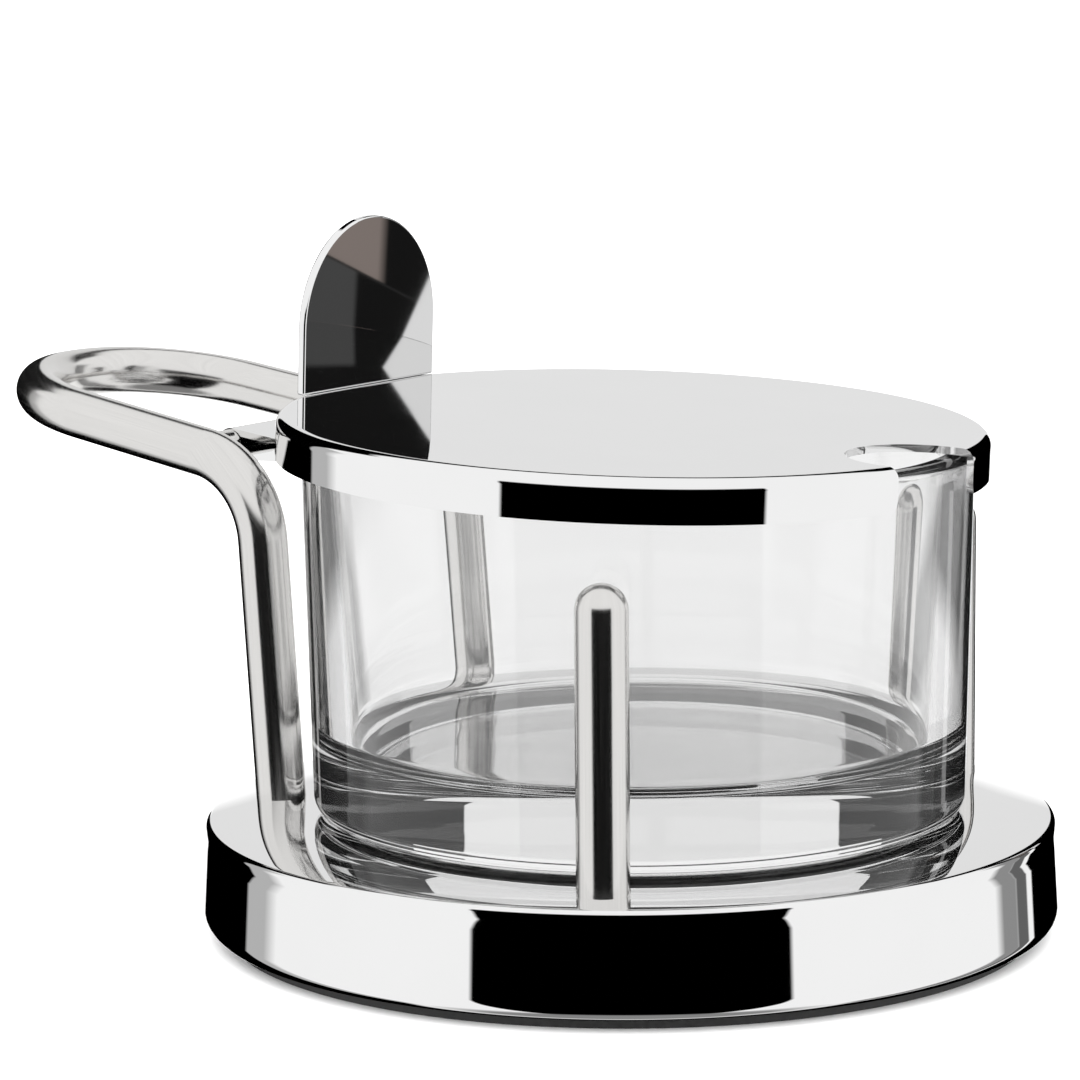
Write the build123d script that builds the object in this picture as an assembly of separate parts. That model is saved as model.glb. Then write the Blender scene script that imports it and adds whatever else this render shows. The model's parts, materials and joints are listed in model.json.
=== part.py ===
from build123d import *
import math
import os

# Table server for grated cheese: a glass bowl on a round steel base, held by two posts and a bent-rod
# handle, under a hinged steel lid. Millimetres. The origin is on the table under the middle of the base,
# +Z is up, the handle points along -X and the spoon notch in the lid along +X.

# Base: a drawn steel sheet, flat in the middle, falling away to a rounded rim and a flared skirt.
# Its largest radius, at the foot of the skirt, is what the sizes across the whole object follow.
SKIRT_RADIUS = 52.5
BASE_HEIGHT = 15.0
SHEET = 1.0
RIM_INSET = 1.1
RIM_DROP = 0.7
FALL_SPAN = 7.9
BEAD_INSET = 0.4
BEAD_HEIGHT = 2.6
NECK_INSET = 0.65
NECK_DROP = 1.3
SKIRT_GAP = 1.2
CURL_RADIUS = 2.0
LIP_WIDTH = 2.7
COVER_THICKNESS = 0.8
COVER_CLEARANCE = 0.1
PAD_CLEARANCE = 0.2
DISC_CLEARANCE = 1.35
DISC_THICKNESS = 2.0

# Rods: two posts and the handle, all of one diameter, each screwed down from inside the base
ROD_DIAMETER = 6.2
POST_INSET = 7.0
POST_ANGLE = 60.0
POST_BELOW_RIM = 9.8
LEG_FOOT_INSET = 13.0
LEG_LEAN = 2.8
LEG_SPACING = 38.2
CORNER_BELOW_RIM = 4.1
CORNER_RADIUS = 11.3
LOOP_OVERHANG = 35.7
LOOP_RISE_ANGLE = 8.7
LOOP_NARROWING = 4.6
LOOP_ROUNDNESS = 0.97

# Screws, M3 pan head, with plain washers
SCREW_DIAMETER = 3.0
SCREW_HOLE_CLEARANCE = 0.2
SCREW_ENGAGEMENT = 7.0
SCREW_HEAD_DIAMETER = 5.6
SCREW_HEAD_HEIGHT = 1.9
DRIVER_SLOT_WIDTH = 0.8
DRIVER_SLOT_DEPTH = 0.9
WASHER_DIAMETER = 7.0
WASHER_THICKNESS = 0.5

# Bowl: heavy-bottomed glass, slightly wider at the top, standing loose on the base
BOWL_CENTRE_X = 1.4
BOWL_INSET = 11.6
BOWL_TAPER = 1.0
BOWL_RIM_HEIGHT = 60.1
BOWL_WALL_TOP = 3.3
BOWL_WALL_BOTTOM = 4.4
BOWL_FLOOR = 8.6
BOWL_FOOT_ROUNDING = 2.5
BOWL_INSIDE_ROUNDING = 3.0
BOWL_RIM_ROUNDING = 1.2

# Hinge: cross pin between the handle rods, sleeves and a strap folded round it
PIN_OVERHANG = 3.0
PIN_BELOW_RIM = 3.3
PIN_DIAMETER = 2.4
PIN_RUNNING_CLEARANCE = 0.06
STRAP_SHEET = 0.8
STRAP_WIDTH = 16.0
STRAP_SLOPE = 4.9
STRAP_FOLD_LENGTH = 8.5
STRAP_SEAM = 0.02
STRAP_FLANGE_BELOW_LID = 1.5
SLEEVE_WALL = 0.7
SLEEVE_SIDE_CLEARANCE = 0.15
SLEEVE_SEAT = 0.4

# Lid: made level here, then tipped about the pin until it leans on the bowl's rim
LID_CENTRE_X = 0.5
LID_OVERHANG = 2.5
LID_ABOVE_RIM = 5.2
LID_SHEET = 0.9
LID_SKIRT_DEPTH = 5.3
LID_EDGE_ROUNDING = 0.8
LID_REST_TILT = 2.4
NOTCH_WIDTH = 17.4
NOTCH_DEPTH = 12.0
NOTCH_CORNER_ROUNDING = 1.0
TAB_SETBACK = 3.3
TAB_WIDTH = 27.0
TAB_HEIGHT = 21.4
TAB_THICKNESS = 1.1
TAB_EDGE_ROUNDING = 0.25

# Radii and reaches that follow the skirt's radius
RIM_RADIUS = SKIRT_RADIUS - RIM_INSET
FLAT_RADIUS = RIM_RADIUS - FALL_SPAN
BEAD_RADIUS = SKIRT_RADIUS - BEAD_INSET
NECK_RADIUS = SKIRT_RADIUS - NECK_INSET
LIP_RADIUS = SKIRT_RADIUS - LIP_WIDTH
PAD_RADIUS = LIP_RADIUS - PAD_CLEARANCE
DISC_RADIUS = NECK_RADIUS - SHEET - DISC_CLEARANCE
POST_CIRCLE_RADIUS = SKIRT_RADIUS - POST_INSET
LEG_FOOT_REACH = SKIRT_RADIUS - LEG_FOOT_INSET
LEG_CORNER_REACH = LEG_FOOT_REACH + LEG_LEAN
LOOP_REACH = SKIRT_RADIUS + LOOP_OVERHANG
LOOP_TIP_SPACING = LEG_SPACING - LOOP_NARROWING
PIN_X = -SKIRT_RADIUS - PIN_OVERHANG
BOWL_TOP_RADIUS = SKIRT_RADIUS - BOWL_INSET
BOWL_BOTTOM_RADIUS = BOWL_TOP_RADIUS - BOWL_TAPER
LID_RADIUS = BOWL_TOP_RADIUS + LID_OVERHANG
TAB_FACE_X = LID_CENTRE_X - LID_RADIUS + TAB_SETBACK

# Heights that follow the bowl's rim
POST_TOP = BOWL_RIM_HEIGHT - POST_BELOW_RIM
CORNER_HEIGHT = BOWL_RIM_HEIGHT - CORNER_BELOW_RIM
PIN_Z = BOWL_RIM_HEIGHT - PIN_BELOW_RIM
LID_TOP = BOWL_RIM_HEIGHT + LID_ABOVE_RIM
STRAP_FLANGE_TOP = LID_TOP - STRAP_FLANGE_BELOW_LID

ROD_RADIUS = ROD_DIAMETER / 2
SCREW_RADIUS = SCREW_DIAMETER / 2
PIN_RADIUS = PIN_DIAMETER / 2
# Extra length that lets one solid run cleanly through another before it is cut back
OVERRUN = 2.0


def turned(outline):
    """Solid of revolution about the Z axis from edges drawn as (radius, height)."""
    return revolve(Plane.XZ * make_face(outline), axis=Axis.Z)


def upright(radius, low, high, x=0.0, y=0.0):
    """Plain upright cylinder between two heights."""
    rod = Cylinder(radius, high - low, align=(Align.CENTER, Align.CENTER, Align.MIN))
    return Pos(x, y, low) * rod


# The fall of the top towards the rim is one arc, level where it leaves the flat
FALL_RADIUS = (FALL_SPAN**2 + RIM_DROP**2) / (2 * RIM_DROP)
FALL_SIN = FALL_SPAN / FALL_RADIUS
FALL_COS = math.sqrt(1 - FALL_SIN**2)
RIM_ROUNDING = (BEAD_RADIUS - RIM_RADIUS) / (1 - FALL_SIN)
RIM_HEIGHT = BASE_HEIGHT - RIM_DROP
BEAD_TOP = RIM_HEIGHT - RIM_ROUNDING * FALL_COS
BEAD_BOTTOM = BASE_HEIGHT - BEAD_HEIGHT
NECK_HEIGHT = BEAD_BOTTOM - NECK_DROP
CURL_HEIGHT = SKIRT_GAP + CURL_RADIUS
CURL_START = SKIRT_RADIUS - CURL_RADIUS
LIP_TOP = SKIRT_GAP + SHEET
UNDERSIDE = BASE_HEIGHT - SHEET


def outside_top():
    """Outline of the base's top and skirt, from the axis down to the curl's lowest point."""
    return [
        Line((0, BASE_HEIGHT), (FLAT_RADIUS, BASE_HEIGHT)),
        TangentArc((FLAT_RADIUS, BASE_HEIGHT), (RIM_RADIUS, RIM_HEIGHT), tangent=(1, 0)),
        TangentArc((RIM_RADIUS, RIM_HEIGHT), (BEAD_RADIUS, BEAD_TOP), tangent=(FALL_COS, -FALL_SIN)),
        Line((BEAD_RADIUS, BEAD_TOP), (BEAD_RADIUS, BEAD_BOTTOM)),
        Line((BEAD_RADIUS, BEAD_BOTTOM), (NECK_RADIUS, NECK_HEIGHT)),
        Line((NECK_RADIUS, NECK_HEIGHT), (SKIRT_RADIUS, CURL_HEIGHT)),
        TangentArc((SKIRT_RADIUS, CURL_HEIGHT), (CURL_START, SKIRT_GAP), tangent=(0, -1)),
    ]


def inside_top():
    """Outline of the sheet's inner face, from the axis down to the top of the inturned lip."""
    corner = (RIM_RADIUS - SHEET * FALL_SIN, RIM_HEIGHT - SHEET * FALL_COS)
    wall = (NECK_RADIUS - SHEET, NECK_HEIGHT)
    foot = (SKIRT_RADIUS - SHEET, CURL_HEIGHT)
    return [
        Line((0, UNDERSIDE), (FLAT_RADIUS, UNDERSIDE)),
        TangentArc((FLAT_RADIUS, UNDERSIDE), corner, tangent=(1, 0)),
        Line(corner, wall),
        Line(wall, foot),
        TangentArc(foot, (CURL_START, LIP_TOP), tangent=(0, -1)),
    ]


# Everything under the base's outer face, and everything inside its sheet
base_form = turned(
    outside_top()
    + [
        Line((CURL_START, SKIRT_GAP), (0, SKIRT_GAP)),
        Line((0, SKIRT_GAP), (0, BASE_HEIGHT)),
    ]
)
base_hollow = turned(
    inside_top()
    + [
        Line((CURL_START, LIP_TOP), (LIP_RADIUS, LIP_TOP)),
        Line((LIP_RADIUS, LIP_TOP), (LIP_RADIUS, SKIRT_GAP)),
        Line((LIP_RADIUS, SKIRT_GAP), (0, SKIRT_GAP)),
        Line((0, SKIRT_GAP), (0, UNDERSIDE)),
    ]
)

# Where the four rods stand: name, x, y
LEG_Y = LEG_SPACING / 2
POST_X = POST_CIRCLE_RADIUS * math.cos(math.radians(POST_ANGLE))
POST_Y = POST_CIRCLE_RADIUS * math.sin(math.radians(POST_ANGLE))
rod_feet = [
    ("leg", "left", -LEG_FOOT_REACH, -LEG_Y),
    ("leg", "right", -LEG_FOOT_REACH, LEG_Y),
    ("post", "left", POST_X, -POST_Y),
    ("post", "right", POST_X, POST_Y),
]

DISC_BOTTOM = UNDERSIDE - DISC_THICKNESS
WASHER_BOTTOM = DISC_BOTTOM - WASHER_THICKNESS
SCREW_TIP = BASE_HEIGHT + SCREW_ENGAGEMENT
HOLE_RADIUS = SCREW_RADIUS + SCREW_HOLE_CLEARANCE / 2


def screw_bore(x, y):
    """The threaded bore in the foot of a rod, as wide and as deep as its screw."""
    return upright(SCREW_RADIUS, UNDERSIDE - OVERRUN, SCREW_TIP, x, y)


nodes = {}

base_shell = base_form - base_hollow
anchor_disc = upright(DISC_RADIUS, DISC_BOTTOM, BASE_HEIGHT) & base_hollow
for kind, side, x, y in rod_feet:
    hole = upright(HOLE_RADIUS, DISC_BOTTOM - OVERRUN, BASE_HEIGHT + OVERRUN, x, y)
    base_shell -= hole
    anchor_disc -= hole
nodes["base_shell"] = base_shell
nodes["anchor_disc"] = anchor_disc

# The cover lies on the inturned lip, and the soft pad that meets the table is bonded under the cover
COVER_RADIUS = CURL_START - COVER_CLEARANCE
nodes["bottom_cover"] = upright(COVER_RADIUS, LIP_TOP, LIP_TOP + COVER_THICKNESS)
nodes["base_pad"] = upright(PAD_RADIUS, 0, LIP_TOP)


def post(x, y):
    """Round post with a domed top, its foot cut to sit on the fall of the base."""
    shaft = upright(ROD_RADIUS, RIM_HEIGHT - OVERRUN, POST_TOP - ROD_RADIUS, x, y)
    dome = Pos(x, y, POST_TOP - ROD_RADIUS) * Sphere(ROD_RADIUS)
    return shaft + dome - base_form - screw_bore(x, y)


def screw(x, y):
    """Pan-head screw driven up through the disc and the sheet into a rod."""
    head_bottom = WASHER_BOTTOM - SCREW_HEAD_HEIGHT
    head = upright(SCREW_HEAD_DIAMETER / 2, head_bottom, WASHER_BOTTOM, x, y)
    slot_size = (SCREW_HEAD_DIAMETER * 2, DRIVER_SLOT_WIDTH, DRIVER_SLOT_DEPTH * 2)
    slot = Pos(x, y, head_bottom) * Box(*slot_size)
    return head + upright(SCREW_RADIUS, WASHER_BOTTOM, SCREW_TIP, x, y) - slot


def washer(x, y):
    """Plain washer between a screw head and the disc."""
    ring = upright(WASHER_DIAMETER / 2, WASHER_BOTTOM, DISC_BOTTOM, x, y)
    return ring - upright(HOLE_RADIUS, WASHER_BOTTOM - OVERRUN, BASE_HEIGHT, x, y)


for kind, side, x, y in rod_feet:
    nodes[f"{kind}_screw_{side}"] = screw(x, y)
    nodes[f"{kind}_washer_{side}"] = washer(x, y)
    if kind == "post":
        nodes[f"post_{side}"] = post(x, y)

# Hinge pin, sunk to the middle of each handle rod
LOOP_SLOPE = math.tan(math.radians(LOOP_RISE_ANGLE))
LOOP_TIP_Z = CORNER_HEIGHT + (LOOP_REACH - LEG_CORNER_REACH) * LOOP_SLOPE
LOOP_TIP_Y = LOOP_TIP_SPACING / 2
LOOP_TAPER = (LEG_Y - LOOP_TIP_Y) / (LOOP_REACH - LEG_CORNER_REACH)
PIN_HALF_LENGTH = LEG_Y - LOOP_TAPER * (-PIN_X - LEG_CORNER_REACH)


def crosswise(radius, y_low, y_high):
    """Cylinder along Y on the hinge axis."""
    bar = Cylinder(radius, y_high - y_low, align=(Align.CENTER, Align.CENTER, Align.MIN))
    return Pos(PIN_X, y_low, PIN_Z) * Rot(-90, 0, 0) * bar


hinge_pin = crosswise(PIN_RADIUS, -PIN_HALF_LENGTH, PIN_HALF_LENGTH)
nodes["hinge_pin"] = hinge_pin


def handle_path():
    """Centre line of the handle rod, from one foot over the loop to the other foot."""
    foot_depth = (BASE_HEIGHT - RIM_HEIGHT + OVERRUN) / (CORNER_HEIGHT - BASE_HEIGHT)
    start_x = -LEG_FOOT_REACH + (LEG_CORNER_REACH - LEG_FOOT_REACH) * foot_depth
    start_z = RIM_HEIGHT - OVERRUN
    run = Vector(LOOP_REACH - LEG_CORNER_REACH, LEG_Y - LOOP_TIP_Y, LOOP_TIP_Z - CORNER_HEIGHT)
    tip_turn = run.get_angle(Vector(0, 1, 0))
    tip_radius = LOOP_ROUNDNESS * LOOP_TIP_Y / math.tan(math.radians(tip_turn / 2))
    half = [
        (start_x, -LEG_Y, start_z),
        (-LEG_CORNER_REACH, -LEG_Y, CORNER_HEIGHT),
        (-LOOP_REACH, -LOOP_TIP_Y, LOOP_TIP_Z),
    ]
    other = [(x, -y, z) for x, y, z in reversed(half)]
    return FilletPolyline(*half, *other, radius=[CORNER_RADIUS, tip_radius, tip_radius, CORNER_RADIUS])


path = handle_path()
rod_section = Plane(origin=path @ 0, z_dir=path % 0) * Circle(ROD_RADIUS)
handle_loop = sweep(rod_section, path=path) - base_form - hinge_pin
for kind, side, x, y in rod_feet:
    if kind == "leg":
        handle_loop -= screw_bore(x, y)
nodes["handle_loop"] = handle_loop

# Sleeves fill the pin between the strap and the rods, less a little side play, and end hollowed to the rod
SLEEVE_START = STRAP_WIDTH / 2 + SLEEVE_SIDE_CLEARANCE
SLEEVE_END = PIN_HALF_LENGTH - ROD_RADIUS + SLEEVE_SEAT
SLEEVE_OUTSIDE = PIN_RADIUS + SLEEVE_WALL
sleeve = crosswise(SLEEVE_OUTSIDE, SLEEVE_START, SLEEVE_END) - hinge_pin - handle_loop
nodes["hinge_sleeve_right"] = sleeve
nodes["hinge_sleeve_left"] = mirror(sleeve, about=Plane.XZ)


def bowl():
    """Glass bowl about the Z axis, as one closed outline of its wall and floor."""
    floor = BASE_HEIGHT + BOWL_FLOOR
    inner_top = BOWL_TOP_RADIUS - BOWL_WALL_TOP
    inner_bottom = BOWL_BOTTOM_RADIUS - BOWL_WALL_BOTTOM
    corners = [
        (0, BASE_HEIGHT),
        (BOWL_BOTTOM_RADIUS, BASE_HEIGHT),
        (BOWL_TOP_RADIUS, BOWL_RIM_HEIGHT),
        (inner_top, BOWL_RIM_HEIGHT),
        (inner_bottom, floor),
        (0, floor),
    ]
    outline = make_face(Polyline(*corners, close=True))
    roundings = {
        1: BOWL_FOOT_ROUNDING,
        2: BOWL_RIM_ROUNDING,
        3: BOWL_RIM_ROUNDING,
        4: BOWL_INSIDE_ROUNDING,
    }
    for index, radius in roundings.items():
        corner = Vector(*corners[index])
        nearest = min(outline.vertices(), key=lambda v: (Vector(v) - corner).length)
        outline = fillet(nearest, radius)
    return revolve(Plane.XZ * outline, axis=Axis.Z)


nodes["glass_bowl"] = Pos(BOWL_CENTRE_X, 0, 0) * bowl()

# Lid, level: a disc with a rounded edge and a skirt, cut through at the notch
SKIRT_BOTTOM = LID_TOP - LID_SKIRT_DEPTH
LID_INSIDE_RADIUS = LID_RADIUS - LID_SHEET
LID_UNDERSIDE = LID_TOP - LID_SHEET


def lid_level():
    """The lid's pressing before it is tipped."""
    outside = [
        (0, LID_TOP),
        (LID_RADIUS, LID_TOP),
        (LID_RADIUS, SKIRT_BOTTOM),
        (LID_INSIDE_RADIUS, SKIRT_BOTTOM),
        (LID_INSIDE_RADIUS, LID_UNDERSIDE),
        (0, LID_UNDERSIDE),
    ]
    outline = make_face(Polyline(*outside, close=True))
    edge = min(outline.vertices(), key=lambda v: (Vector(v) - Vector(*outside[1])).length)
    outline = fillet(edge, LID_EDGE_ROUNDING)
    pressing = revolve(Plane.XZ * outline, axis=Axis.Z)
    notch_centre = LID_RADIUS - NOTCH_DEPTH + NOTCH_WIDTH / 2
    notch_end = upright(NOTCH_WIDTH / 2, SKIRT_BOTTOM - OVERRUN, LID_TOP + OVERRUN, notch_centre)
    throat_length = LID_RADIUS - notch_centre + OVERRUN
    throat_height = LID_SKIRT_DEPTH + 2 * OVERRUN
    throat_align = (Align.MIN, Align.CENTER, Align.MIN)
    throat = Box(throat_length, NOTCH_WIDTH, throat_height, align=throat_align)
    pressing -= notch_end + Pos(notch_centre, 0, SKIRT_BOTTOM - OVERRUN) * throat
    # The lowest straight edges are the two across the sheet where the notch cuts the skirt
    low_corners = pressing.edges().filter_by(GeomType.LINE).group_by(Axis.Z)[0]
    return fillet(low_corners, NOTCH_CORNER_ROUNDING)


def thumb_tab():
    """Upright plate with a half-round top, standing on the lid near its hinge side."""
    half = TAB_WIDTH / 2
    shoulder = LID_TOP + TAB_HEIGHT - half
    outline = make_face(
        [
            Line((-half, LID_TOP), (half, LID_TOP)),
            Line((half, LID_TOP), (half, shoulder)),
            ThreePointArc((half, shoulder), (0, shoulder + half), (-half, shoulder)),
            Line((-half, shoulder), (-half, LID_TOP)),
        ]
    )
    plate = extrude(Plane.YZ * outline, -TAB_THICKNESS)
    rounded = [e for e in plate.edges() if e.center().Z > LID_TOP + TAB_EDGE_ROUNDING]
    long_edges = [e for e in rounded if e.length > TAB_THICKNESS * 2]
    return Pos(TAB_FACE_X, 0, 0) * fillet(long_edges, TAB_EDGE_ROUNDING)


def hinge_strap():
    """Sheet folded round the pin, doubled towards the lid and turned up against its skirt."""
    inside = PIN_RADIUS + PIN_RUNNING_CLEARANCE
    outside = inside + STRAP_SHEET
    lid_back = LID_CENTRE_X - LID_RADIUS
    end = lid_back - PIN_X + OVERRUN
    doubled = [
        Line((STRAP_FOLD_LENGTH, outside - 2 * STRAP_SHEET), (STRAP_FOLD_LENGTH, outside)),
        Line((end, outside - 2 * STRAP_SHEET), (end, outside)),
    ]
    fold = make_hull(Edge.make_circle(outside).edges() + [e.edge() for e in doubled])
    tip = Line((STRAP_FOLD_LENGTH, inside - STRAP_SEAM), (STRAP_FOLD_LENGTH, inside))
    hole = make_hull(Edge.make_circle(inside).edges() + [tip.edge()])
    tongue = extrude(Plane.XZ * (fold - hole), STRAP_WIDTH / 2, both=True)
    tongue = Pos(PIN_X, 0, PIN_Z) * Rot(0, STRAP_SLOPE, 0) * tongue
    flange_bottom = PIN_Z + outside - 2 * STRAP_SHEET
    flange_bottom -= (lid_back - PIN_X) * math.tan(math.radians(STRAP_SLOPE))
    skirt_form = upright(LID_RADIUS, PIN_Z - LID_RADIUS, LID_TOP, LID_CENTRE_X)
    flange = upright(LID_RADIUS + STRAP_SHEET, flange_bottom, STRAP_FLANGE_TOP, LID_CENTRE_X)
    flange &= Pos(LID_CENTRE_X - LID_RADIUS, 0, 0) * Box(LID_RADIUS, STRAP_WIDTH, 2 * LID_TOP)
    return tongue + flange - skirt_form


def at_rest(level_piece):
    """A piece of the lid, tipped about the hinge pin to where it leans on the bowl."""
    hinge = Pos(PIN_X, 0, PIN_Z)
    return hinge * Rot(0, LID_REST_TILT, 0) * hinge.inverse() * level_piece


nodes["lid"] = at_rest(Pos(LID_CENTRE_X, 0, 0) * lid_level())
nodes["thumb_tab"] = at_rest(thumb_tab())
nodes["hinge_strap"] = at_rest(hinge_strap())

os.makedirs("parts", exist_ok=True)
for name, shape in nodes.items():
    export_step(shape, f"parts/{name}.step")
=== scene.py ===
import json
import math

import bmesh
import bpy
from bpy.props import FloatProperty, FloatVectorProperty, PointerProperty
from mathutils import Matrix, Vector


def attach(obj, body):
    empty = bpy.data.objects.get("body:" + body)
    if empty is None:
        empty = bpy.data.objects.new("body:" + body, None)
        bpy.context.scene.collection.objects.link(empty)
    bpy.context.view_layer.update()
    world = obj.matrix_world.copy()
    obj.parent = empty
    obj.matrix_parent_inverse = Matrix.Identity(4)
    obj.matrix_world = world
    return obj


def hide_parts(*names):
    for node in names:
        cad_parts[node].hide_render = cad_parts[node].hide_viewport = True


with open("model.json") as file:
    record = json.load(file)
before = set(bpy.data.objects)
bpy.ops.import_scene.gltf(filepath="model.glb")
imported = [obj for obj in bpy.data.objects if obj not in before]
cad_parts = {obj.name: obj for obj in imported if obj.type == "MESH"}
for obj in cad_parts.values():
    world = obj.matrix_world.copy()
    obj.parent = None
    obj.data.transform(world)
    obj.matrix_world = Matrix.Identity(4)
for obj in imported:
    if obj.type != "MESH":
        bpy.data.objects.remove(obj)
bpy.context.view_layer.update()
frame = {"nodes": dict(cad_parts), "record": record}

bl_info = {
    "name": "Grated cheese server",
    "version": (1, 0, 0),
    "blender": (4, 5, 0),
    "location": "View3D > Sidebar > Cheese server",
    "description": "Models a lidded glass bowl on a round steel base with a bent-rod handle",
    "category": "Add Mesh",
}

MM = 0.001

# Two points closer than this are the same point
SAME_PLACE = 2e-6

# How closely the scratches of a rod follow each other round it and along it
GRAIN_ROUND = 22.0
GRAIN_ALONG = 55.0


def length(name, about, millimetres):
    """A size that the sidebar shows as a length."""
    return FloatProperty(name=name, description=about, default=millimetres * MM, unit="LENGTH", precision=5)


def colour(name, about, value):
    """A colour that the sidebar shows as a swatch."""
    return FloatVectorProperty(name=name, description=about, default=value, subtype="COLOR", size=3)


class BaseSizes(bpy.types.PropertyGroup):
    height: length("Height", "Table to the flat of the base", 15.0)
    flat_radius: length("Flat radius", "Radius of the level part of the top", 42.0)
    rim_radius: length("Rim radius", "Radius where the top turns into the edge", 51.4)
    rim_drop: length("Rim drop", "Fall of the top from the flat to the rim", 0.7)
    bead_radius: length("Bead radius", "Radius of the edge under the rim", 52.1)
    bead_bottom: length("Bead bottom", "Height where the edge starts to draw in", 13.1)
    neck_radius: length("Neck radius", "Smallest radius under the edge", 51.98)
    neck_height: length("Neck height", "Height of the smallest radius", 12.0)
    skirt_radius: length("Skirt radius", "Largest radius, near the foot", 52.5)
    skirt_gap: length("Skirt gap", "Table to the underside of the skirt", 1.2)
    bead_rounding: length("Bead rounding", "Radius where the edge starts to draw in", 8.0)
    neck_rounding: length("Neck rounding", "Radius of the hollow under the edge", 7.0)
    curl_radius: length("Curl", "Rounding where the skirt turns in", 2.0)
    lip_radius: length("Lip radius", "Inner radius of the inturned lip", 49.8)
    sheet: length("Sheet", "Thickness of the steel", 1.0)


class RodSizes(bpy.types.PropertyGroup):
    radius: length("Radius", "Radius of every rod", 3.1)
    post_circle: length("Post circle", "Distance of the posts from the middle", 45.5)
    post_turn: FloatProperty(
        name="Post turn",
        description="Turn of each post from the spoon's side",
        default=math.radians(60.0),
        subtype="ANGLE",
    )
    post_top: length("Post top", "Height of the posts' domes", 50.3)
    dome_share: FloatProperty(
        name="Dome share", description="Share of the rod's radius that the dome rounds", default=0.985
    )
    foot_depth: length("Foot depth", "How far a rod's end sits below the flat", 0.5)
    leg_foot_reach: length("Leg foot", "Distance of the legs' feet behind the middle", 39.5)
    leg_corner_reach: length("Leg corner", "Distance of the legs' bends behind the middle", 42.3)
    leg_spacing: length("Leg spacing", "Distance between the two legs", 38.2)
    corner_height: length("Corner height", "Height where leg and loop would meet", 56.0)
    corner_radius: length("Corner radius", "Radius of the bend on the centre line", 11.3)
    loop_reach: length("Loop reach", "Distance of the loop's end behind the middle", 88.2)
    loop_rise: length("Loop rise", "Climb of the loop to its end", 7.024)
    tip_spacing: length("Tip spacing", "Distance between the corners of the loop's end", 33.6)
    tip_roundness: FloatProperty(
        name="Tip roundness", description="Share of the loop's end that is bend", default=0.97
    )


class BowlSizes(bpy.types.PropertyGroup):
    centre_x: length("Centre", "Place of the bowl's axis", 1.4)
    bottom_radius: length("Bottom radius", "Outer radius at the foot", 39.9)
    top_radius: length("Top radius", "Outer radius at the rim", 40.9)
    rim_height: length("Rim height", "Table to the rim", 60.1)
    wall_top: length("Wall at the top", "Thickness of the wall at the rim", 3.3)
    wall_bottom: length("Wall at the bottom", "Thickness of the wall over the floor", 4.4)
    floor: length("Floor", "Thickness of the floor", 8.6)
    foot_rounding: length("Foot rounding", "Radius of the outer bottom edge", 2.5)
    inside_rounding: length("Inside rounding", "Radius between floor and wall", 3.0)
    rim_rounding: length("Rim rounding", "Radius of the rim's edges", 1.2)
    seat_gap: length("Seat gap", "Air under the bowl", 0.03)


class LidSizes(bpy.types.PropertyGroup):
    centre_x: length("Centre", "Place of the lid's axis while it is level", 0.5)
    radius: length("Radius", "Outer radius", 43.4)
    top: length("Top", "Height of the top while it is level", 65.3)
    sheet: length("Sheet", "Thickness of the steel", 0.9)
    skirt_depth: length("Skirt depth", "Top to the lower edge", 5.3)
    edge_rounding: length("Edge rounding", "Radius between top and skirt", 1.5)
    notch_width: length("Notch width", "Width of the opening for the spoon", 17.4)
    notch_depth: length("Notch depth", "Reach of the notch into the lid", 12.0)
    notch_rounding: length("Notch rounding", "Radius of the notch's low corners", 1.8)
    tab_face_x: length("Tab face", "Place of the thumb tab's front", -39.6)
    tab_width: length("Tab width", "Width of the thumb tab", 27.0)
    tab_height: length("Tab height", "Height of the thumb tab over the lid", 21.4)
    tab_thickness: length("Tab thickness", "Thickness of the thumb tab", 1.1)
    tab_rounding: length("Tab rounding", "Radius of the thumb tab's edges", 0.25)
    tilt: FloatProperty(
        name="Tilt",
        description="Lean of the closed lid about the hinge pin",
        default=math.radians(2.4),
        subtype="ANGLE",
    )


class HingeSizes(bpy.types.PropertyGroup):
    pin_x: length("Pin place", "Place of the pin behind the middle", -55.5)
    pin_z: length("Pin height", "Height of the pin", 56.8)
    pin_radius: length("Pin radius", "Radius of the pin", 1.2)
    pin_reach: length("Pin reach", "Half the length of the pin, into the rods", 18.44)
    sleeve_radius: length("Sleeve radius", "Outer radius of the sleeves", 1.9)
    sleeve_start: length("Sleeve start", "Distance of a sleeve from the middle", 8.15)
    sleeve_end: length("Sleeve end", "Reach of a sleeve towards its rod", 15.7)
    chamfer: length("Chamfer", "Rounding at the ends of the pin and the sleeves", 0.15)


class Finishes(bpy.types.PropertyGroup):
    mirror: colour("Mirror steel", "Polished sheet", (0.9, 0.9, 0.9))
    rod: colour("Rod steel", "Polished rod", (0.78, 0.77, 0.755))
    plain: colour("Plain steel", "Inner steel", (0.6, 0.6, 0.61))
    rubber: colour("Rubber", "Pad under the base", (0.02, 0.02, 0.02))
    glass: colour("Glass", "Bowl", (0.99, 0.99, 0.99))


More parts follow.
